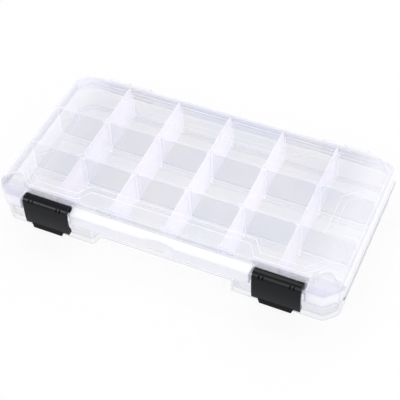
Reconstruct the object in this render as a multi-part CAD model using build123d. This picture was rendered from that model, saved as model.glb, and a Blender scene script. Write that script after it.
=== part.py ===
from build123d import *
from math import hypot
import os

# A shallow compartment case: a clear tray, a clear hinged lid, two black swing latches,
# two hinge pins and fifteen lift-out dividers. X runs along the front, Y to the back and
# Z up; the origin lies on the underside, under the middle of the lid. Millimetres.

# Compartments
COLUMNS = 6
ROWS = 3
COLUMN_PITCH = 38.1        # from one divider to the next
ROW_DEPTH = 34.6           # clear space between two long walls
ROW_WALL = 1.2             # thickness of the two fixed long walls
DIVIDER_THICKNESS = 1.2
DIVIDER_SLOT_GAP = 0.15    # each side of a divider in its slot
DIVIDER_END_GAP = 0.3      # each end of a divider
GUIDE_THICKNESS = 1.0      # ribs that hold the dividers upright
GUIDE_DEPTH = 1.5
COVE = 4.0                 # round between a floor and its walls

# Walls and heights above the underside
WALL = 1.4
FLOOR = 1.4
RIM_HEIGHT = 27.6          # top of the ledge round the lid
SKIRT_DEPTH = 9.0          # from there down to the lower edge of the lid
PANEL_RISE = 4.2           # from the ledge up to the raised panel
FIELD_RISE = 0.7           # from the panel up to the field on it
LID_GAP = 0.3              # between lid and tray, up and down
SKIRT_GAP = 0.4            # between the lid's walls and the tray, sideways
BASE_ROUND = 2.0           # lower outer edge of the tray

# Front, back and end margins
FRONT_LEDGE = 8.0          # ledge in front of the raised panel
SWING_GAP = 1.2            # between the tray's back wall and the lid as it swings
BACK_RISER_GAP = 0.2       # from the last row's end to the panel's back wall
END_ROOM = 0.6             # extra length of the first and last column
END_GAP = 0.8              # between the tray's end walls and the lid
END_LEDGE = 3.0
BAY_DEPTH = 7.2            # how far the front bays stand before the middle wall
BAY_START = 48.0           # from the centre to the inner edge of a bay
BAY_SLANT = 2.0

# Lid outline
CORNER_CUT = 10.0
CORNER_ROUND = 6.0
TRAY_CORNER_CUT = 8.0
TRAY_CORNER_ROUND = 6.0
RIM_ROUND = 1.8            # top outer edge of the rim
PANEL_ROUND = 2.0
OUTLINE_ROUND = 2.5
SCOOP_WIDTH = 22.0         # finger scoop in the middle of the front rim
SCOOP_DEPTH = 2.6

# Raised field, a long shape with a notch in each side
FIELD_STEP = 0.35          # height of the first of its two steps
FIELD_BAND = 4.2           # width of the border between the two steps
FIELD_FRONT = 11.2         # from the panel's front edge to the field, in the middle
FIELD_WIDE = 2.2           # the same in front of a latch
FIELD_BACK = 20.0          # from the panel's back edge to the field, in the middle
FIELD_BACK_WIDE = 12.5     # the same in front of a hinge
FIELD_NOTCH_HALF = 54.5    # from the centre to the ends of the middle notches
FIELD_NOTCH_SLANT = 6.0
FIELD_CORNER = 9.5         # slanted side of each corner
POCKET_CORNER = 8.0        # slanted side of the low pocket at each front corner
POCKET_LENGTH = 2.5        # straight side of the same pocket, between its slants
FIELD_END = 1.2            # from the panel's end to the field beside the end notch
END_NOTCH_DEPTH = 17.8     # from the panel's end to the field inside the end notch
END_NOTCH_SLANT = 6.0
END_ARM_FRONT = 19.3       # width of the field's arm before the end notch
END_ARM_BACK = 17.0        # width of the arm behind it

# Latches
LATCH_X = 79.0             # from the centre to the middle of a latch
LATCH_WIDTH = 31.6
LATCH_SIDE_GAP = 1.8
LATCH_POCKET_ROUND = 3.0   # back corners of the pocket that a latch lies in
LATCH_PLATE = 1.5
LATCH_FACE_OUT = 0.8       # how far the face stands before the rim
LATCH_LENGTH = 17.4        # from the rod down to the lower edge of the face
LATCH_BULGE = 0.4          # crown of the face
ROD_RADIUS = 1.2
ROD_CLEARANCE = 0.05
ROD_BACK = 2.0             # from the lid's front face to the rod
ROD_DOWN = 2.6             # from the rim's top to the rod
HEAD_UP = 4.6              # from the rod to the top of the latch's head
HEAD_BACK = 4.9
HEAD_DOWN = 2.4
HEAD_ROUND = 3.0
LIP_WIDTH = 20.6           # at its lower edge
LIP_SLANT = 1.2            # how far each of its sides slants out towards the face
LIP_LENGTH = 2.9
LIP_FLARE = 0.8
CHEEK_LENGTH = 9.0
CHEEK_THICKNESS = 1.4
HOOK_WIDTH = 20.0
HOOK_HEIGHT = 1.5
CATCH_WIDTH = 22.0
CATCH_UP = 2.8             # from the latch's lower edge up to the catch
CATCH_HEIGHT = 1.6
CATCH_DEPTH = 1.4
CATCH_GAP = 0.3
SLIT_WIDTH = 0.9
SLIT_PLACES = (8.7, 11.2)  # from the middle of the latch
SLIT_DEPTH = 1.5           # from the face back into the round ridge above it

# Hinges
HINGE_X = 80.0             # from the centre to the middle of a hinge
HINGE_OUT = 1.6            # from the lid's back face to the hinge axis
HINGE_DOWN = 4.4           # from the rim's top to the hinge axis
KNUCKLE_RADIUS = 2.3
KNUCKLE_LENGTH = 12.4
LUG_RADIUS = 2.0
LUG_LENGTH = 2.6
LUG_STEM = 2.4
KNUCKLE_GAP = 0.3
PIN_RADIUS = 1.0
PIN_CLEARANCE = 0.05
BRACKET_HEIGHT = 2.8

# Sizes that follow from the ones above
PARTING_HEIGHT = RIM_HEIGHT - SKIRT_DEPTH
PANEL_HEIGHT = RIM_HEIGHT + PANEL_RISE
FIELD_HEIGHT = PANEL_HEIGHT + FIELD_RISE
LATCH_BOTTOM = RIM_HEIGHT - ROD_DOWN - LATCH_LENGTH
LIP_BOTTOM = LATCH_BOTTOM - LIP_LENGTH
CATCH_BOTTOM = LATCH_BOTTOM + CATCH_UP
HINGE_HEIGHT = RIM_HEIGHT - HINGE_DOWN

SWING = hypot(HINGE_OUT + WALL, SKIRT_DEPTH - HINGE_DOWN) + SWING_GAP
BACK_GAP = SWING - HINGE_OUT - WALL             # between the tray and the lid's back skirt
INNER_LENGTH = COLUMNS * COLUMN_PITCH + 2 * END_ROOM
INNER_DEPTH = ROWS * ROW_DEPTH + (ROWS - 1) * ROW_WALL
BOX_LENGTH = INNER_LENGTH + 2 * (WALL + END_GAP + WALL)
BOX_DEPTH = FRONT_LEDGE + 3 * WALL + SKIRT_GAP + INNER_DEPTH + BACK_GAP + WALL
FRONT = -BOX_DEPTH / 2
BACK = BOX_DEPTH / 2
END = BOX_LENGTH / 2

PANEL_FRONT = FRONT + FRONT_LEDGE
PANEL_END = END - END_LEDGE
FIELD_SHOULDER = PANEL_END - POCKET_CORNER - POCKET_LENGTH - FIELD_CORNER
WALL_FRONT = PANEL_FRONT + WALL + SKIRT_GAP     # outer face of the tray's middle front wall
ROW_FRONT = WALL_FRONT + WALL                   # inner face of the same wall
ROW_BACK = ROW_FRONT + INNER_DEPTH
PANEL_BACK = ROW_BACK + BACK_RISER_GAP + WALL
WALL_BACK = ROW_BACK + WALL
WALL_END = INNER_LENGTH / 2 + WALL
BAY_FRONT = WALL_FRONT - BAY_DEPTH

LID_SKIN = WALL
TRAY_RIM = RIM_HEIGHT - LID_SKIN - LID_GAP      # top of the tray's outer walls
ROW_TOP = PANEL_HEIGHT - LID_SKIN - LID_GAP     # top of long walls and dividers
FLANGE_TOP = PARTING_HEIGHT - LID_GAP
FLANGE_UNDER = FLANGE_TOP - WALL

POCKET_HALF = LATCH_WIDTH / 2 + LATCH_SIDE_GAP
POCKET_OUT = POCKET_HALF + WALL
ZONE_OUT = POCKET_OUT + SKIRT_GAP
ROD_Y = FRONT + ROD_BACK
ROD_Z = RIM_HEIGHT - ROD_DOWN
FACE_Y = FRONT - LATCH_FACE_OUT
PLATE_Y = FACE_Y + LATCH_PLATE

HINGE_Y = BACK + HINGE_OUT
DIVIDER_PLACES = [COLUMN_PITCH * (i - COLUMNS / 2) for i in range(1, COLUMNS)]
ROW_PLACES = [ROW_FRONT + i * (ROW_DEPTH + ROW_WALL) for i in range(ROWS)]


def box(x, y, z):
    """A block between two limits on each axis."""
    size = (x[1] - x[0], y[1] - y[0], z[1] - z[0])
    middle = ((x[0] + x[1]) / 2, (y[0] + y[1]) / 2, (z[0] + z[1]) / 2)
    return Pos(*middle) * Box(*size)


def slab(face, low, high):
    """A flat outline made solid between two heights."""
    return extrude(Pos(0, 0, low) * face, amount=high - low)


def mirrored(points):
    """The right half of an outline, given from front to back, and its mirror image."""
    return points + [(-x, y) for x, y in reversed(points)]


def outline(points, radius, inset=0):
    """A closed outline, drawn in by an inset, with the same round on every corner."""
    face = make_face(Polyline(*points, close=True))
    if inset:
        face = offset(face, -inset, kind=Kind.INTERSECTION)
    return fillet(face.vertices(), radius)


def cut_corners(front, back, end, cut):
    """Corner points of a rectangle with cut corners, right half."""
    return [(end - cut, front), (end, front + cut), (end, back - cut), (end - cut, back)]


def at_top(solid, height):
    """Edges that lie in the level plane at a height."""
    level = 0.01
    return solid.edges().filter_by_position(Axis.Z, height - level, height + level)


def rim_face():
    """Outline of the lid's rim, with the finger scoop in the middle of the front."""
    face = outline(mirrored(cut_corners(FRONT, BACK, END, CORNER_CUT)), CORNER_ROUND)
    half = SCOOP_WIDTH / 2
    radius = (half**2 + SCOOP_DEPTH**2) / (2 * SCOOP_DEPTH)
    scoop = Pos(0, FRONT + SCOOP_DEPTH - radius) * Circle(radius)
    return face - scoop


def panel_face():
    """Outline of the raised panel, with a low pocket at each front corner."""
    points = [
        (FIELD_SHOULDER, PANEL_FRONT),
        (FIELD_SHOULDER + FIELD_CORNER, PANEL_FRONT + FIELD_CORNER),
        (PANEL_END - POCKET_CORNER, PANEL_FRONT + FIELD_CORNER),
        (PANEL_END, PANEL_FRONT + FIELD_CORNER - POCKET_CORNER),
        (PANEL_END, PANEL_BACK - FIELD_CORNER),
        (PANEL_END - FIELD_CORNER, PANEL_BACK),
    ]
    return outline(mirrored(points), OUTLINE_ROUND)


def field_face(inset):
    """Outline of the raised field or, with an inset, of the step inside its border."""
    front = PANEL_FRONT + FIELD_FRONT
    wide = PANEL_FRONT + FIELD_WIDE
    back = PANEL_BACK - FIELD_BACK
    back_wide = PANEL_BACK - FIELD_BACK_WIDE
    end = PANEL_END - FIELD_END
    notch = PANEL_END - END_NOTCH_DEPTH
    near = wide + FIELD_CORNER + END_ARM_FRONT
    far = back_wide - FIELD_CORNER - END_ARM_BACK
    points = [
        (FIELD_NOTCH_HALF, front),
        (FIELD_NOTCH_HALF + FIELD_NOTCH_SLANT, wide),
        (FIELD_SHOULDER - FIELD_WIDE, wide),
        (FIELD_SHOULDER + FIELD_CORNER - FIELD_WIDE, wide + FIELD_CORNER),
        (end, wide + FIELD_CORNER),
        (end, near),
        (notch + END_NOTCH_SLANT, near),
        (notch, near + END_NOTCH_SLANT),
        (notch, far - END_NOTCH_SLANT),
        (notch + END_NOTCH_SLANT, far),
        (end, far),
        (end, back_wide - FIELD_CORNER),
        (FIELD_SHOULDER + FIELD_CORNER, back_wide - FIELD_CORNER),
        (FIELD_SHOULDER, back_wide),
        (FIELD_NOTCH_HALF + FIELD_NOTCH_SLANT, back_wide),
        (FIELD_NOTCH_HALF, back),
    ]
    return outline(mirrored(points), OUTLINE_ROUND, inset)


def tray_face():
    """Outline of the tray's walls, with two bays that stand forward at the latches."""
    points = [
        (BAY_START - BAY_SLANT, WALL_FRONT),
        (BAY_START, BAY_FRONT),
        (WALL_END - TRAY_CORNER_CUT, BAY_FRONT),
        (WALL_END, BAY_FRONT + TRAY_CORNER_CUT),
        (WALL_END, WALL_BACK - TRAY_CORNER_CUT),
        (WALL_END - TRAY_CORNER_CUT, WALL_BACK),
    ]
    face = make_face(Polyline(*mirrored(points), close=True))
    corners = face.vertices().filter_by(lambda v: abs(v.X) > BAY_START + WALL)
    return fillet(corners, TRAY_CORNER_ROUND)


def rod(x, length, radius, y, z):
    """A round bar along X with its middle at x."""
    return Pos(x, y, z) * Rot(0, 90, 0) * Cylinder(radius, length)


def latch_zone(side, half, y, z):
    """A block round the middle of one latch."""
    middle = side * LATCH_X
    return box((middle - half, middle + half), y, z)


def row_cavity(face, number, low, high):
    """The hollow of one row of compartments between two heights."""
    front = ROW_PLACES[number] if number else FRONT
    back = ROW_PLACES[number] + ROW_DEPTH
    strip = Pos(0, (front + back) / 2) * Rectangle(BOX_LENGTH, back - front)
    return slab(face & strip, low, high)


def divider_guides():
    """Pairs of ribs that hold the dividers on both sides of every row."""
    offset_x = DIVIDER_THICKNESS / 2 + DIVIDER_SLOT_GAP + GUIDE_THICKNESS / 2
    half = GUIDE_THICKNESS / 2
    ribs = []
    for place in DIVIDER_PLACES:
        for x in (place - offset_x, place + offset_x):
            for row in ROW_PLACES:
                back = row + ROW_DEPTH
                top = TRAY_RIM if row == ROW_PLACES[-1] else ROW_TOP
                wide = (x - half, x + half)
                ribs.append(box(wide, (row - WALL / 2, row + GUIDE_DEPTH), (FLOOR, ROW_TOP)))
                ribs.append(box(wide, (back - GUIDE_DEPTH, back + WALL / 2), (FLOOR, top)))
    return ribs


def bay_guides():
    """Long ribs from the bay walls out to the divider slots, below the latch shelf."""
    offset_x = DIVIDER_THICKNESS / 2 + DIVIDER_SLOT_GAP + GUIDE_THICKNESS / 2
    half = GUIDE_THICKNESS / 2
    ribs = []
    for place in DIVIDER_PLACES:
        if abs(place) > BAY_START:
            for x in (place - offset_x, place + offset_x):
                y = (BAY_FRONT + WALL / 2, ROW_FRONT)
                ribs.append(box((x - half, x + half), y, (FLOOR, FLANGE_UNDER + WALL / 2)))
    return ribs


def hinge_lugs(side):
    """Three lugs on a bracket behind the tray that carry one hinge pin."""
    pitch = KNUCKLE_LENGTH + LUG_LENGTH + 2 * KNUCKLE_GAP
    foot = (FLANGE_TOP - BRACKET_HEIGHT - WALL, FLANGE_TOP - BRACKET_HEIGHT / 2)
    stem = (HINGE_Y - LUG_STEM / 2, HINGE_Y + LUG_STEM / 2)
    half = pitch + LUG_LENGTH / 2
    middle = side * HINGE_X
    bracket = box((middle - half, middle + half), (BACK - WALL, stem[1]), foot)
    shape = bracket
    for place in (-pitch, 0, pitch):
        x = (middle + place - LUG_LENGTH / 2, middle + place + LUG_LENGTH / 2)
        shape += box(x, (BACK + SKIRT_GAP, stem[1]), (foot[0], HINGE_HEIGHT))
        shape += rod(middle + place, LUG_LENGTH, LUG_RADIUS, HINGE_Y, HINGE_HEIGHT)
    return shape - rod(middle, 2 * half + WALL, PIN_RADIUS + PIN_CLEARANCE, HINGE_Y, HINGE_HEIGHT)


def base_tray():
    """The clear tray: floor, outer walls, long walls, flange, latch catches and hinge lugs."""
    outer = tray_face()
    body = slab(outer, 0, TRAY_RIM)
    body = fillet(at_top(body, 0), BASE_ROUND)
    body += slab(offset(panel_face(), -(WALL + SKIRT_GAP)), FLANGE_TOP, ROW_TOP)
    inner = offset(outer, -WALL)
    zones = [latch_zone(s, ZONE_OUT + WALL, (FRONT, ROW_FRONT), (0, FIELD_HEIGHT)) for s in (-1, 1)]
    for number in range(ROWS):
        low = row_cavity(inner, number, FLOOR, FLANGE_UNDER)
        body -= fillet(at_top(low, FLOOR), COVE)
        high = row_cavity(inner, number, FLANGE_UNDER, FIELD_HEIGHT)
        body -= high - zones
    flange = slab(offset(rim_face(), -LID_GAP), FLANGE_UNDER, FLANGE_TOP)
    body += flange - slab(outer, 0, RIM_HEIGHT)
    guides = divider_guides() + bay_guides()
    body += [guide & slab(inner, 0, ROW_TOP) for guide in guides]
    for side in (-1, 1):
        body -= latch_zone(side, ZONE_OUT, (FRONT - WALL, WALL_FRONT), (FLANGE_TOP, FIELD_HEIGHT))
        body -= latch_zone(side, POCKET_HALF, (FRONT - WALL, BAY_FRONT), (FLANGE_UNDER, FLANGE_TOP))
        catch = (CATCH_BOTTOM, CATCH_BOTTOM + CATCH_HEIGHT)
        body += latch_zone(side, CATCH_WIDTH / 2, (BAY_FRONT - CATCH_DEPTH, BAY_FRONT), catch)
        body += hinge_lugs(side)
    return body


def lid_shell():
    """The lid's outer form less the space inside it."""
    rim = rim_face()
    panel = panel_face()
    step = PANEL_HEIGHT + FIELD_STEP
    skirt = fillet(at_top(slab(rim, PARTING_HEIGHT, RIM_HEIGHT), RIM_HEIGHT), RIM_ROUND)
    raised = fillet(at_top(slab(panel, PARTING_HEIGHT, PANEL_HEIGHT), PANEL_HEIGHT), PANEL_ROUND)
    border = slab(field_face(0), RIM_HEIGHT, step)
    top = slab(field_face(FIELD_BAND), RIM_HEIGHT, FIELD_HEIGHT)
    outer = skirt + raised + border + top
    inside = slab(offset(rim, -WALL), PARTING_HEIGHT, RIM_HEIGHT - LID_SKIN)
    inside += slab(offset(panel, -WALL), PARTING_HEIGHT, PANEL_HEIGHT - LID_SKIN)
    return outer, outer - inside


def lid():
    """The clear lid with its latch pockets, latch rods and hinge knuckles."""
    outer, body = lid_shell()
    for side in (-1, 1):
        body += outer & slab(latch_pocket(side, WALL), PARTING_HEIGHT, RIM_HEIGHT)
        body -= slab(latch_pocket(side, 0), 0, FIELD_HEIGHT)
        body += rod(side * LATCH_X, 2 * POCKET_HALF + WALL, ROD_RADIUS, ROD_Y, ROD_Z)
        body = lid_hinge(body, side)
    return body


def lid_hinge(body, side):
    """Add one pair of knuckles behind the lid and clear the tray's lugs."""
    middle = side * HINGE_X
    pitch = KNUCKLE_LENGTH + LUG_LENGTH + 2 * KNUCKLE_GAP
    swing = LUG_RADIUS + SKIRT_GAP
    for place in (-pitch, 0, pitch):
        body -= rod(middle + place, LUG_LENGTH + 2 * KNUCKLE_GAP, swing, HINGE_Y, HINGE_HEIGHT)
    for place in (-pitch / 2, pitch / 2):
        body += rod(middle + place, KNUCKLE_LENGTH, KNUCKLE_RADIUS, HINGE_Y, HINGE_HEIGHT)
    bore = rod(middle, 2 * pitch, PIN_RADIUS + PIN_CLEARANCE, HINGE_Y, HINGE_HEIGHT)
    return body - bore


def latch_profile():
    """Side view of a latch: a rounded head round the rod and a crowned face below it."""
    head_size = (HEAD_BACK + ROD_Y - FACE_Y, HEAD_UP + HEAD_DOWN)
    middle = ((ROD_Y + HEAD_BACK + FACE_Y) / 2, ROD_Z + (HEAD_UP - HEAD_DOWN) / 2)
    head = Pos(*middle) * RectangleRounded(*head_size, HEAD_ROUND)
    shoulder = ROD_Z + HEAD_UP - HEAD_ROUND
    crown = (FACE_Y - LATCH_BULGE, (shoulder + LATCH_BOTTOM) / 2)
    face = make_face([
        ThreePointArc((FACE_Y, shoulder), crown, (FACE_Y, LATCH_BOTTOM)),
        Polyline((FACE_Y, LATCH_BOTTOM), (PLATE_Y, LATCH_BOTTOM), (PLATE_Y, shoulder),
                 (FACE_Y, shoulder)),
    ])
    return head + face


def latch_pocket(side, grow):
    """Outline in plan of the pocket that a latch lies in, with round back corners."""
    half = LATCH_WIDTH / 2 + LATCH_SIDE_GAP + grow
    front = FRONT - WALL
    back = PANEL_FRONT + grow
    face = Pos(0, (front + back) / 2) * Rectangle(2 * half, back - front)
    corners = face.vertices().sort_by(Axis.Y)[2:]
    return Pos(side * LATCH_X, 0) * fillet(corners, LATCH_POCKET_ROUND + grow)


def latch_lip():
    """Finger lip below the face, leaning out, a little narrower towards its lower edge."""
    half = LIP_WIDTH / 2 + LIP_SLANT
    side = [
        (PLATE_Y, LATCH_BOTTOM + LATCH_PLATE),
        (PLATE_Y, LATCH_BOTTOM),
        (PLATE_Y - LIP_FLARE, LIP_BOTTOM),
        (FACE_Y - LIP_FLARE, LIP_BOTTOM),
        (FACE_Y, LATCH_BOTTOM + LATCH_PLATE),
    ]
    front = [
        (half, LATCH_BOTTOM + LATCH_PLATE),
        (half, LATCH_BOTTOM),
        (LIP_WIDTH / 2, LIP_BOTTOM),
    ]
    swept = extrude(Plane.YZ * make_face(Polyline(*side, close=True)), amount=half, both=True)
    tab = Plane.XZ * make_face(Polyline(*mirrored(front), close=True))
    return swept & extrude(tab, amount=BOX_DEPTH, both=True)


def latch_cheek():
    """Side rib behind the face, deep at the lower edge and tapering upwards."""
    front = PLATE_Y - LATCH_PLATE / 2
    side = [
        (front, LATCH_BOTTOM),
        (BAY_FRONT - CATCH_GAP, LATCH_BOTTOM),
        (BAY_FRONT - CATCH_GAP, LATCH_BOTTOM + CATCH_UP),
        (front, LATCH_BOTTOM + CHEEK_LENGTH),
    ]
    face = Plane.YZ * make_face(Polyline(*side, close=True))
    return extrude(face, amount=CHEEK_THICKNESS / 2, both=True)


def latch(side):
    """One black latch, closed: roll, face, finger lip, side cheeks and catch hook."""
    half = LATCH_WIDTH / 2
    body = extrude(Plane.YZ * latch_profile(), amount=half, both=True) + latch_lip()
    inner = BAY_FRONT - CATCH_GAP
    for x in (CHEEK_THICKNESS / 2 - half, half - CHEEK_THICKNESS / 2):
        body += Pos(x, 0, 0) * latch_cheek()
    hook = (CATCH_BOTTOM - CATCH_GAP - HOOK_HEIGHT, CATCH_BOTTOM - CATCH_GAP)
    body += box((-HOOK_WIDTH / 2, HOOK_WIDTH / 2), (PLATE_Y, inner), hook)
    body -= rod(0, LATCH_WIDTH + WALL, ROD_RADIUS + ROD_CLEARANCE, ROD_Y, ROD_Z)
    throat = ROD_RADIUS * 0.8
    body -= box((-half, half), (ROD_Y - throat, ROD_Y + throat), (ROD_Z - 2 * HEAD_DOWN, ROD_Z))
    for place in SLIT_PLACES:
        for x in (-place, place):
            slit = (x - SLIT_WIDTH / 2, x + SLIT_WIDTH / 2)
            up = (ROD_Z + HEAD_UP - HEAD_ROUND, ROD_Z + HEAD_UP)
            body -= box(slit, (FACE_Y - WALL, FACE_Y + SLIT_DEPTH), up)
    return Pos(side * LATCH_X, 0, 0) * body


def hinge_pin(side):
    """One steel pin, from the outer face of one end lug to that of the other."""
    pitch = KNUCKLE_LENGTH + LUG_LENGTH + 2 * KNUCKLE_GAP
    return rod(side * HINGE_X, 2 * pitch + LUG_LENGTH, PIN_RADIUS, HINGE_Y, HINGE_HEIGHT)


def divider(row, place):
    """One lift-out divider, standing on the floor between its guide ribs."""
    front = ROW_PLACES[row] + DIVIDER_END_GAP
    back = ROW_PLACES[row] + ROW_DEPTH - DIVIDER_END_GAP
    half = DIVIDER_THICKNESS / 2
    plate = box((place - half, place + half), (front, back), (FLOOR, ROW_TOP))
    lower = plate.edges().filter_by(Axis.X).group_by(Axis.Z)[0]
    return fillet(lower, COVE + DIVIDER_END_GAP)


def main():
    os.makedirs("parts", exist_ok=True)
    parts = {"base_tray": base_tray(), "lid": lid()}
    for name, side in (("left", -1), ("right", 1)):
        parts["latch_" + name] = latch(side)
        parts["hinge_pin_" + name] = hinge_pin(side)
    for row in range(ROWS):
        for number, place in enumerate(DIVIDER_PLACES, start=1):
            parts[f"divider_row{row + 1}_{number}"] = divider(row, place)
    for name, shape in parts.items():
        export_step(shape, f"parts/{name}.step")


if __name__ == "__main__":
    main()
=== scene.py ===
import bpy
from math import cos, radians, sin
from mathutils import Matrix, Vector

# Dresses a clear hinged compartment case: plastics, latches, hinge pins and a pale studio.
# The object stands in metres, X along the front, Y to the back, Z up.

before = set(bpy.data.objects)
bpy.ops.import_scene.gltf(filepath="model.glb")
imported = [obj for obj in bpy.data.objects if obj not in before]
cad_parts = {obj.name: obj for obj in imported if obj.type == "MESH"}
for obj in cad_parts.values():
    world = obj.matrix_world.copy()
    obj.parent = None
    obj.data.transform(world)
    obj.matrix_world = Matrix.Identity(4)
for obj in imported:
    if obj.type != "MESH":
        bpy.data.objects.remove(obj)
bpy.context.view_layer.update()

bl_info = {
    "name": "Compartment case finish",
    "version": (1, 0, 0),
    "blender": (4, 5, 0),
    "location": "View3D > Sidebar > Case",
    "description": "Finishes a clear hinged compartment case and lights it on a pale floor",
    "category": "Object",
}

SIDES = ("left", "right")
LID_FIELD = (0.1155, -0.0540, 0.0570)   # the raised panel's end, front and back, in metres
RIM_WIDTH = 0.001                       # over which the frosting round the panel, with its painted highlight, sets in
LATCH_POCKET = (0.0608, 0.0975)         # a latch pocket's inner and outer end along the front
POCKET_REACH = 0.0012                   # how far a pocket's walls reach behind the panel's front
CORNER_REACH = 0.006                    # how far a front corner's flat reaches behind it
END_FACE = 0.1179                       # the case's end faces lie beyond it
SEAM_SHADE_HEIGHTS = (0.0160, 0.0205)                 # heights of the band on the end faces where the seam's shade is painted
WALL_TOPS = (0.0295, 0.0310)            # heights between which the long walls end, where a highlight is painted
HAZE_IN_END = 0.045                     # how far inside the panel's ends the painted haze starts
HAZE_IN_SIDE = 0.012                    # how far inside its front and back the painted haze starts
HAZE_WIDTH = 0.035                      # over which the painted haze thickens
DIVIDER_FADE = (0.002, 0.022)           # heights between which a divider turns milkier

PATCH_TINT = (0.36, 0.40, 0.60)         # bluish clouds in the clear plastic
PAINTED_HAZE_TINT = (0.91, 0.91, 0.98)          # painted haze: a whiter veil near the lid's ends, standing for reflected light
POCKET_SHADE_TINT = (0.52, 0.50, 0.68)        # painted shade on the pocket walls behind the latches
CORNER_REFLECTION_TINT = (0.74, 0.74, 0.88)        # painted lilac reflection on the flats of the front corners
SEAM_SHADE_TINT = (0.03, 0.03, 0.04)          # painted shade: the dark line on the end faces where lid and tray meet
ROSY_TINT = (0.98, 0.94, 0.97)          # rosy clouds in the dividers
WORN_TINT = (0.03, 0.03, 0.034)         # worn edges of the latches
PLASTIC_IOR = 1.49                      # of the clear and the milky plastic
EDGE_STOPS = ((0.80, 1), (0.998, 0))    # how far a rounded edge leans, against its mask
SENSOR_WIDTH = 36                       # of the camera, in millimetres
LAMP_AIM = (0, 0, 0.02)                 # the point that the lamps face


class PlasticSettings(bpy.types.PropertyGroup):
    clear_tint: bpy.props.FloatVectorProperty(
        name="Clear tint", description="Colour of the clear plastic in its faces",
        subtype="COLOR", size=3, min=0, max=1, default=(0.42, 0.41, 0.52))
    # Painted highlight: the colour that edges, rounds and grazing faces of the clear plastic are
    # brightened to.
    edge_highlight_tint: bpy.props.FloatVectorProperty(
        name="Edge tint", description="Colour that the clear plastic gathers along its edges",
        subtype="COLOR", size=3, min=0, max=1, default=(0.98, 0.98, 1.0))
    lid_cover: bpy.props.FloatProperty(
        name="Lid cover", description="How much a face of the lid hides of what is behind it",
        subtype="FACTOR", min=0, max=1, default=0.08)
    tray_cover: bpy.props.FloatProperty(
        name="Tray cover", description="How much a face of the tray hides of what is behind it",
        subtype="FACTOR", min=0, max=1, default=0.08)
    edge_cover: bpy.props.FloatProperty(
        name="Edge cover", description="How much a clear edge hides of what is behind it",
        subtype="FACTOR", min=0, max=1, default=0.70)
    # Painted glow: emission along the clear plastic's edges and rounds, which are no lamps.
    painted_edge_glow: bpy.props.FloatProperty(
        name="Edge glow", description="Light that the clear plastic pipes to its edges",
        min=0, max=1, default=0.50)
    rim_cover: bpy.props.FloatProperty(
        name="Rim cover", description="How much the frosted rim round the lid hides",
        subtype="FACTOR", min=0, max=1, default=0.36)
    edge_width: bpy.props.FloatProperty(
        name="Edge width", description="Width of the rounded edges that catch the light",
        subtype="DISTANCE", unit="LENGTH", min=0, max=0.003, default=0.0007)
    milky_tint: bpy.props.FloatVectorProperty(
        name="Milky tint", description="Colour of the milky dividers",
        subtype="COLOR", size=3, min=0, max=1, default=(0.98, 0.97, 1.0))
    milky_cover: bpy.props.FloatProperty(
        name="Milky cover", description="How much a divider hides of what is behind it",
        subtype="FACTOR", min=0, max=1, default=0.70)
    # Painted glow: emission that brightens the dividers, which are no lamps.
    painted_milky_glow: bpy.props.FloatProperty(
        name="Milky glow", description="Light that a divider scatters from inside itself",
        min=0, max=1, default=0.14)


class DarkSettings(bpy.types.PropertyGroup):
    latch_tint: bpy.props.FloatVectorProperty(
        name="Latch colour", description="Colour of the latches",
        subtype="COLOR", size=3, min=0, max=1, default=(0.003, 0.0035, 0.006))
    latch_roughness: bpy.props.FloatProperty(
        name="Latch roughness", description="Roughness of the polished latches",
        subtype="FACTOR", min=0, max=1, default=0.12)


class StageSettings(bpy.types.PropertyGroup):
    azimuth: bpy.props.FloatProperty(
        name="Azimuth", description="Turn of the camera round the case",
        subtype="ANGLE", unit="ROTATION", default=0.458225)
    elevation: bpy.props.FloatProperty(
        name="Elevation", description="Height angle of the camera",
        subtype="ANGLE", unit="ROTATION", default=0.824785)
    roll: bpy.props.FloatProperty(
        name="Roll", description="Tilt of the picture",
        subtype="ANGLE", unit="ROTATION", default=-0.051308)
    distance: bpy.props.FloatProperty(
        name="Distance", description="From the camera to the middle of the case",
        subtype="DISTANCE", unit="LENGTH", min=0.1, default=0.718075)
    aim_height: bpy.props.FloatProperty(
        name="Aim height", description="Height of the point that the camera looks at",
        subtype="DISTANCE", unit="LENGTH", default=0.0276)
    lens: bpy.props.FloatProperty(
        name="Lens", description="Focal length in millimetres on a sensor 36 mm wide",
        min=1, default=99.6445)
    shift: bpy.props.FloatVectorProperty(
        name="Shift", description="Small lens shift that frames the case as in the photograph",
        size=2, default=(0.006375, -0.06218))
    key_power: bpy.props.FloatProperty(
        name="Key power", description="Power of the large lamp above",
        subtype="POWER", unit="POWER", min=0, default=1.2)
    fill_power: bpy.props.FloatProperty(
        name="Fill power", description="Power of each side lamp",
        subtype="POWER", unit="POWER", min=0, default=0.7)
    sky: bpy.props.FloatProperty(
        name="Sky", description="Strength of the even light from all round",
        min=0, max=2, default=0.95)
    floor_size: bpy.props.FloatProperty(
        name="Floor size", description="Side of the square floor",
        subtype="DISTANCE", unit="LENGTH", min=0.5, default=6.0)


class Value:
    """A shader socket that can stand in a Python expression."""

    def __init__(self, shader, socket):
        self.shader = shader
        self.socket = socket

    def math(self, operation, first, second):
        values = {0: first, 1: second}
        return self.shader.node("ShaderNodeMath", {"operation": operation}, values)

    def __add__(self, other):
        return self.math("ADD", self, other)

    def __radd__(self, other):
        return self.math("ADD", other, self)

    def __sub__(self, other):
        return self.math("SUBTRACT", self, other)

    def __rsub__(self, other):
        return self.math("SUBTRACT", other, self)

    def __mul__(self, other):
        return self.math("MULTIPLY", self, other)

    def __rmul__(self, other):
        return self.math("MULTIPLY", other, self)

    def __pow__(self, other):
        return self.math("POWER", self, other)

    def __abs__(self):
        return self.math("ABSOLUTE", self, 0.0)

    def over(self, limit):
        return self.math("GREATER_THAN", self, limit)

    def under(self, limit):
        return self.math("LESS_THAN", self, limit)

    def at_least(self, other):
        return self.math("MAXIMUM", self, other)


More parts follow.
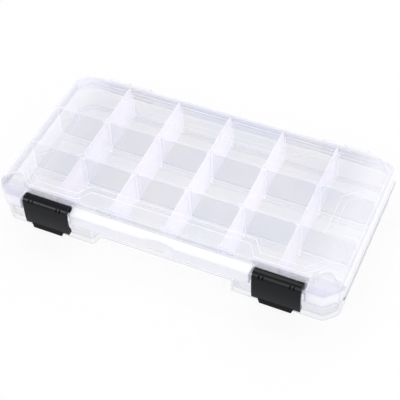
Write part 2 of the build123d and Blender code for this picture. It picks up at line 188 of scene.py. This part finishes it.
class Shader:
    """A node material, or a world, that is written as expressions."""

    def __init__(self, name, store=bpy.data.materials):
        self.material = store.new(name)
        self.material.use_nodes = True
        self.tree = self.material.node_tree
        self.tree.nodes.clear()

    def node(self, kind, settings=None, values=None, output=0):
        """Add a node, set it up, fill its sockets and return one of its outputs."""
        node = self.tree.nodes.new(kind)
        for name, setting in (settings or {}).items():
            if name == "stops":
                self.set_stops(node.color_ramp, setting)
            else:
                setattr(node, name, setting)
        for name, value in (values or {}).items():
            self.fill(node.inputs[name], value)
        return Value(self, node.outputs[output]) if node.outputs else None

    def fill(self, socket, value):
        if isinstance(value, Value):
            self.tree.links.new(value.socket, socket)
        elif isinstance(value, tuple) and len(value) == 3 and socket.type == "RGBA":
            socket.default_value = (*value, 1)
        else:
            socket.default_value = value

    def set_stops(self, ramp, stops):
        while len(ramp.elements) < len(stops):
            ramp.elements.new(1)
        for element, (place, shade) in zip(ramp.elements, stops):
            element.position = place
            element.color = (shade, shade, shade, 1)

    def mix_colour(self, factor, first, second):
        settings = {"data_type": "RGBA"}
        return self.node("ShaderNodeMix", settings, {0: factor, 6: first, 7: second}, 2)

    def noise(self, scale, detail):
        place = self.node("ShaderNodeTexCoord", output="Object")
        values = {"Vector": place, "Scale": scale, "Detail": detail}
        return self.node("ShaderNodeTexNoise", {}, values)

    def ramp(self, value, stops):
        return self.node("ShaderNodeValToRGB", {"stops": stops}, {0: value})

    def facing(self, blend):
        return self.node("ShaderNodeLayerWeight", {}, {"Blend": blend}, "Facing")

    def bump(self, height, distance, strength, normal):
        values = {"Height": height, "Distance": distance, "Strength": strength, "Normal": normal}
        return self.node("ShaderNodeBump", {}, values)

    def round_normal(self, radius):
        return self.node("ShaderNodeBevel", {"samples": 6}, {"Radius": radius})

    def slope(self):
        """One on a face that leans by half a right angle, none on a level or upright one."""
        square = self.level()
        return 4.0 * square * (1.0 - square)

    def level(self):
        """One on a level face, none on an upright one."""
        height = self.part_of("Normal", "Z")
        return height * height

    def beyond(self, limits, width):
        """One outside a rectangle about the middle, given as the limits of x, front and back."""
        end, front, back = limits
        across = self.part_of("Object", "X")
        along = self.part_of("Object", "Y")
        far = (abs(across) - end).at_least(along - back).at_least(front - along)
        return self.rise(far, 0.0, width)

    def rise(self, value, low, high):
        """From none to one while a value goes from low to high."""
        return self.node("ShaderNodeMapRange", {"clamp": True},
                         {"Value": value, "From Min": low, "From Max": high})

    def part_of(self, source, axis):
        """One axis of the place or of the normal, in the piece's own space."""
        vector = self.node("ShaderNodeTexCoord", output=source)
        return self.node("ShaderNodeSeparateXYZ", {}, {0: vector}, axis)

    def band(self, low, high):
        """One between two heights."""
        height = self.part_of("Object", "Z")
        return height.over(low) * height.under(high)

    def niche(self, front):
        """One on the walls of the two pockets behind the latches, where shade is painted."""
        across = abs(self.part_of("Object", "X"))
        inner, outer = LATCH_POCKET
        near = self.part_of("Object", "Y").under(front + POCKET_REACH)
        return across.over(inner) * across.under(outer) * near * (1.0 - self.level())

    def corner(self, front):
        """One on the flats of the two front corners, outside the latches, where a lilac reflection
        is painted.
        """
        outside = abs(self.part_of("Object", "X")).over(LATCH_POCKET[1])
        near = self.part_of("Object", "Y").under(front + CORNER_REACH)
        return outside * near * self.level()

    def end_band(self, low, high):
        """One on the upright end faces between two heights, where the seam's shade is painted."""
        outside = abs(self.part_of("Object", "X")).over(END_FACE)
        lean = self.part_of("Normal", "X")
        return self.band(low, high) * outside * (lean * lean).over(0.5)

    def edge(self, rounded, stops=EDGE_STOPS):
        """A mask along sharp edges, from how far the rounded normal leans off the face."""
        true = self.node("ShaderNodeNewGeometry", output="True Normal")
        lean = self.node("ShaderNodeVectorMath", {"operation": "DOT_PRODUCT"},
                         {0: rounded, 1: true}, "Value")
        return self.ramp(lean, stops)

    def looked_at(self):
        """One where the camera sees a surface, straight or in a reflection."""
        seen = [self.node("ShaderNodeLightPath", output=f"Is {ray} Ray")
                for ray in ("Camera", "Glossy", "Transmission")]
        return seen[0].at_least(seen[1]).at_least(seen[2])

    def finish(self, surface, output="ShaderNodeOutputMaterial"):
        self.node(output, {}, {"Surface": surface})
        return self.material


def clear_plastic(name, settings, face_cover, seam=None, frosted=None, wall_top_highlight=None, painted_glow_scale=1.0):
    """Clear plastic with painted highlights and glow on edges and rounds; if asked, painted
    wall-top highlights, a frosted rim with painted highlight, painted haze, pocket shade, corner
    reflection and seam shade.
    """
    shade, light = tuple(settings.clear_tint), tuple(settings.edge_highlight_tint)
    s = Shader(name)
    rounded = s.round_normal(settings.edge_width)
    edge = s.edge(rounded)
    # The tops of the long walls get a painted highlight.
    if wall_top_highlight:
        edge = edge.at_least(0.42 * s.level() * s.band(*wall_top_highlight))
    cloud = s.noise(28, 3)
    grain = s.noise(900, 2)
    # Painted sheen at grazing angles and painted highlights on edges and rounds, mixed into the
    # colour below.
    sheen = s.facing(0.5) ** 3.0
    painted_highlight = edge.at_least(sheen).at_least(0.7 * s.slope())
    cover = face_cover * (0.75 + 0.5 * cloud) + 0.25 * sheen
    # Painted glow: emission on edges and rounds, which are no lamps.
    glow = edge.at_least(0.12 * s.slope())
    if frosted:
        end, front, back = frosted
        clear_field = (end - HAZE_IN_END, front + HAZE_IN_SIDE, back - HAZE_IN_SIDE)
        # Painted haze: a whiter, faintly glowing veil near the lid's ends, standing for reflected
        # light.
        painted_haze = s.beyond(clear_field, HAZE_WIDTH)
        # The frosted rim hides more; its white tint and its glow are painted highlight.
        frost_and_highlight = s.beyond(frosted, RIM_WIDTH) * (0.7 + 0.3 * s.level())
        painted_highlight = painted_highlight.at_least(frost_and_highlight)
        painted_rim_glow = 0.17 * frost_and_highlight * (1.0 - s.slope())
        soft = 1.0 - 0.4 * painted_haze
        edge = edge * soft
        glow = (glow * soft).at_least(painted_rim_glow).at_least(0.08 * painted_haze)
        cover = cover + settings.rim_cover * frost_and_highlight + 0.18 * painted_haze
    patch = s.mix_colour(s.ramp(cloud, ((0.40, 0), (0.62, 1))), shade, PATCH_TINT)
    if frosted:
        patch = s.mix_colour(painted_haze, patch, PAINTED_HAZE_TINT)
    tint = s.mix_colour(painted_highlight, patch, light)
    if frosted:
        # Painted shade: a darker lilac on the pocket walls, with less glow.
        niche = s.niche(front)
        tint = s.mix_colour(niche, tint, POCKET_SHADE_TINT)
        cover = cover + 0.16 * niche
        glow = glow * (1.0 - 0.8 * niche)
        # Painted reflection: a lilac tint on the front corners' flats, without glow.
        corner = s.corner(front)
        tint = s.mix_colour(corner, tint, CORNER_REFLECTION_TINT)
        glow = glow * (1.0 - corner)
    alpha = cover + (settings.edge_cover - cover) * edge.at_least(0.5 * s.slope())
    if seam:
        # Painted shade: a dark line on the end faces where lid and tray meet.
        dark = s.end_band(*seam)
        tint = s.mix_colour(dark, tint, SEAM_SHADE_TINT)
        glow = glow * (1.0 - dark)
        alpha = alpha + (0.85 - alpha) * dark
    flow = s.bump(cloud, 0.0004, 0.25, rounded)
    normal = s.bump(grain, 0.00002, 0.4, flow)
    surface = s.node("ShaderNodeBsdfPrincipled", {}, {
        "Base Color": tint, "Roughness": 0.10 + 0.10 * cloud, "IOR": PLASTIC_IOR, "Alpha": alpha,
        "Emission Color": s.mix_colour(glow, (0, 0, 0), light),
        "Emission Strength": painted_glow_scale * settings.painted_edge_glow, "Normal": normal})
    return s.finish(surface)


def milky_plastic(settings):
    """Milky, softly translucent divider plastic with a painted glow."""
    s = Shader("milky_plastic")
    rounded = s.round_normal(settings.edge_width * 0.6)
    edge = s.edge(rounded)
    cloud = s.noise(45, 3)
    grain = s.noise(1200, 2)
    rosy = s.ramp(s.noise(60, 2), ((0.45, 0), (0.65, 1)))
    tint = s.mix_colour(rosy, tuple(settings.milky_tint), ROSY_TINT)
    fade = s.rise(s.part_of("Object", "Z"), *DIVIDER_FADE)
    alpha = settings.milky_cover * (0.70 + 0.30 * fade) + 0.16 * cloud + 0.30 * edge
    normal = s.bump(grain, 0.00002, 0.5, rounded)
    # The emission is a painted glow.
    body = s.node("ShaderNodeBsdfPrincipled", {}, {
        "Base Color": tint, "Roughness": 0.28 + 0.12 * cloud, "IOR": PLASTIC_IOR,
        "Emission Color": tint, "Emission Strength": 2 * settings.painted_milky_glow, "Normal": normal})
    glow = s.node("ShaderNodeBsdfTranslucent", {}, {"Color": tuple(settings.milky_tint)})
    milk = s.node("ShaderNodeMixShader", {}, {0: 0.5, 1: body, 2: glow})
    clear = s.node("ShaderNodeBsdfTransparent")
    return s.finish(s.node("ShaderNodeMixShader", {}, {0: alpha, 1: clear, 2: milk}))


def black_plastic(settings):
    """Polished black plastic with a faint moulded ripple and soft wear on its edges."""
    s = Shader("black_plastic")
    rounded = s.round_normal(0.0006)
    edge = s.edge(rounded, ((0.75, 1), (0.995, 0)))
    cloud = s.noise(90, 3)
    grain = s.noise(1500, 3)
    tint = s.mix_colour(edge * cloud, tuple(settings.latch_tint), WORN_TINT)
    flow = s.bump(cloud, 0.0003, 0.2, rounded)
    normal = s.bump(grain, 0.00002, 0.3, flow)
    surface = s.node("ShaderNodeBsdfPrincipled", {}, {
        "Base Color": tint, "Roughness": settings.latch_roughness + 0.08 * cloud,
        "IOR": 1.5, "Specular IOR Level": 0.12, "Normal": normal,
        "Coat Weight": s.slope() ** 3.0, "Coat Roughness": 0.08})
    return s.finish(surface)


def dress(names, material):
    """Give CAD nodes a finish in place."""
    for name in names:
        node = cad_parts[name]
        node.data.materials.clear()
        node.data.materials.append(material)
        for face in node.data.polygons:
            face.material_index = 0


class CASE_OT_clear_parts(bpy.types.Operator):
    """Finish the tray and the lid in clear plastic"""

    bl_idname = "case.clear_parts"
    bl_label = "Clear tray and lid"

    def execute(self, context):
        settings = context.scene.case_plastic
        tray = clear_plastic("tray_plastic", settings, settings.tray_cover, SEAM_SHADE_HEIGHTS,
                             wall_top_highlight=WALL_TOPS, painted_glow_scale=1.6)
        dress(["base_tray"], tray)
        lid = clear_plastic("lid_plastic", settings, settings.lid_cover, SEAM_SHADE_HEIGHTS, LID_FIELD)
        dress(["lid"], lid)
        return {"FINISHED"}


class CASE_OT_dividers(bpy.types.Operator):
    """Finish the fifteen dividers in milky plastic"""

    bl_idname = "case.dividers"
    bl_label = "Dividers"

    def execute(self, context):
        names = sorted(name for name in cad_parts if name.startswith("divider_"))
        dress(names, milky_plastic(context.scene.case_plastic))
        return {"FINISHED"}


class CASE_OT_latches(bpy.types.Operator):
    """Finish the two latches in polished black plastic"""

    bl_idname = "case.latches"
    bl_label = "Latches"

    def execute(self, context):
        dress(["latch_" + side for side in SIDES], black_plastic(context.scene.case_dark))
        return {"FINISHED"}


class CASE_OT_pins(bpy.types.Operator):
    """Finish the two hinge pins in clear plastic"""

    bl_idname = "case.pins"
    bl_label = "Hinge pins"

    def execute(self, context):
        settings = context.scene.case_plastic
        names = ["hinge_pin_" + side for side in SIDES]
        dress(names, clear_plastic("pin_plastic", settings, 3 * settings.tray_cover))
        return {"FINISHED"}


def add_lamp(name, place, size, power):
    """A soft lamp, with its width and height, that faces the case."""
    lamp = bpy.data.lights.new(name, "AREA")
    lamp.shape = "RECTANGLE"
    lamp.size, lamp.size_y = size
    lamp.energy = power
    holder = bpy.data.objects.new(name, lamp)
    holder.location = place
    holder.rotation_euler = (Vector(place) - Vector(LAMP_AIM)).to_track_quat("Z", "Y").to_euler()
    bpy.context.scene.collection.objects.link(holder)


def add_camera(stage):
    """The photograph's viewpoint."""
    a, e, r = stage.azimuth, stage.elevation, stage.roll
    back = Vector((sin(a) * cos(e), -cos(a) * cos(e), sin(e)))
    right = Vector((cos(a), sin(a), 0))
    up = back.cross(right)
    across = cos(r) * right + sin(r) * up
    upward = -sin(r) * right + cos(r) * up
    place = Vector((0, 0, stage.aim_height)) + stage.distance * back
    turn = Matrix((across, upward, back)).transposed().to_4x4()
    lens = bpy.data.cameras.new("photo_view")
    lens.lens = stage.lens
    lens.sensor_width = SENSOR_WIDTH
    lens.shift_x, lens.shift_y = stage.shift
    lens.clip_start = 0.01
    camera = bpy.data.objects.new("photo_view", lens)
    camera.matrix_world = Matrix.Translation(place) @ turn
    bpy.context.scene.collection.objects.link(camera)
    bpy.context.scene.camera = camera


def floor_finish():
    """White paper whose shadow stays visible."""
    s = Shader("floor_paper")
    grain = s.noise(300, 3)
    tint = s.mix_colour(grain, (0.93, 0.93, 0.93), (0.90, 0.90, 0.90))
    paper = s.node("ShaderNodeBsdfPrincipled", {}, {"Base Color": tint, "Roughness": 0.8})
    glow = s.node("ShaderNodeEmission", {}, {"Color": (1, 1, 1), "Strength": 1.0})
    return s.finish(s.node("ShaderNodeMixShader", {}, {0: 0.85 * s.looked_at(), 1: paper, 2: glow}))


def studio_sky(strength):
    """Even light from all round, which is plain white where the camera looks at it."""
    s = Shader("studio", bpy.data.worlds)
    light = s.node("ShaderNodeBackground", {}, {"Color": (1, 1, 1), "Strength": strength})
    white = s.node("ShaderNodeBackground", {}, {"Color": (1, 1, 1), "Strength": 1.0})
    surface = s.node("ShaderNodeMixShader", {}, {0: s.looked_at(), 1: light, 2: white})
    return s.finish(surface, "ShaderNodeOutputWorld")


class CASE_OT_stage(bpy.types.Operator):
    """Set the pale floor, the soft lamps and the camera"""

    bl_idname = "case.stage"
    bl_label = "Floor, lamps and camera"

    def execute(self, context):
        stage = context.scene.case_stage
        half = stage.floor_size / 2
        corners = [(-half, -half, 0), (half, -half, 0), (half, half, 0), (-half, half, 0)]
        mesh = bpy.data.meshes.new("floor")
        mesh.from_pydata(corners, [], [(0, 1, 2, 3)])
        mesh.materials.append(floor_finish())
        floor = bpy.data.objects.new("floor", mesh)
        context.scene.collection.objects.link(floor)
        add_lamp("key", (-0.25, 0.55, 0.95), (0.35, 0.35), stage.key_power)
        add_lamp("strip", (-0.58, -0.95, 0.66), (0.60, 0.07), stage.fill_power)
        add_lamp("fill", (0.85, -0.45, 0.60), (0.25, 0.25), stage.fill_power)
        context.scene.world = studio_sky(stage.sky)
        context.scene.view_settings.view_transform = "Standard"
        context.scene.cycles.transparent_max_bounces = 48
        add_camera(stage)
        return {"FINISHED"}


class CASE_PT_sidebar(bpy.types.Panel):
    """The case's finish, piece by piece"""

    bl_idname = "CASE_PT_sidebar"
    bl_label = "Compartment case"
    bl_space_type = "VIEW_3D"
    bl_region_type = "UI"
    bl_category = "Case"

    def draw(self, context):
        layout = self.layout
        for group in SETTINGS:
            settings = getattr(context.scene, group)
            for name in settings.bl_rna.properties.keys():
                if name not in ("rna_type", "name"):
                    layout.prop(settings, name)
        for operator in OPERATORS:
            layout.operator(operator.bl_idname)


SETTINGS = {
    "case_plastic": PlasticSettings,
    "case_dark": DarkSettings,
    "case_stage": StageSettings,
}
OPERATORS = (
    CASE_OT_stage,
    CASE_OT_clear_parts,
    CASE_OT_dividers,
    CASE_OT_latches,
    CASE_OT_pins,
)


def register():
    for group in (*SETTINGS.values(), *OPERATORS, CASE_PT_sidebar):
        bpy.utils.register_class(group)
    for name, group in SETTINGS.items():
        setattr(bpy.types.Scene, name, bpy.props.PointerProperty(type=group))


def unregister():
    for name in SETTINGS:
        delattr(bpy.types.Scene, name)
    for group in (CASE_PT_sidebar, *reversed(OPERATORS), *SETTINGS.values()):
        bpy.utils.unregister_class(group)


def main():
    register()
    bpy.ops.case.stage()
    bpy.ops.case.clear_parts()
    bpy.ops.case.dividers()
    bpy.ops.case.latches()
    bpy.ops.case.pins()


if __name__ == "__main__":
    main()
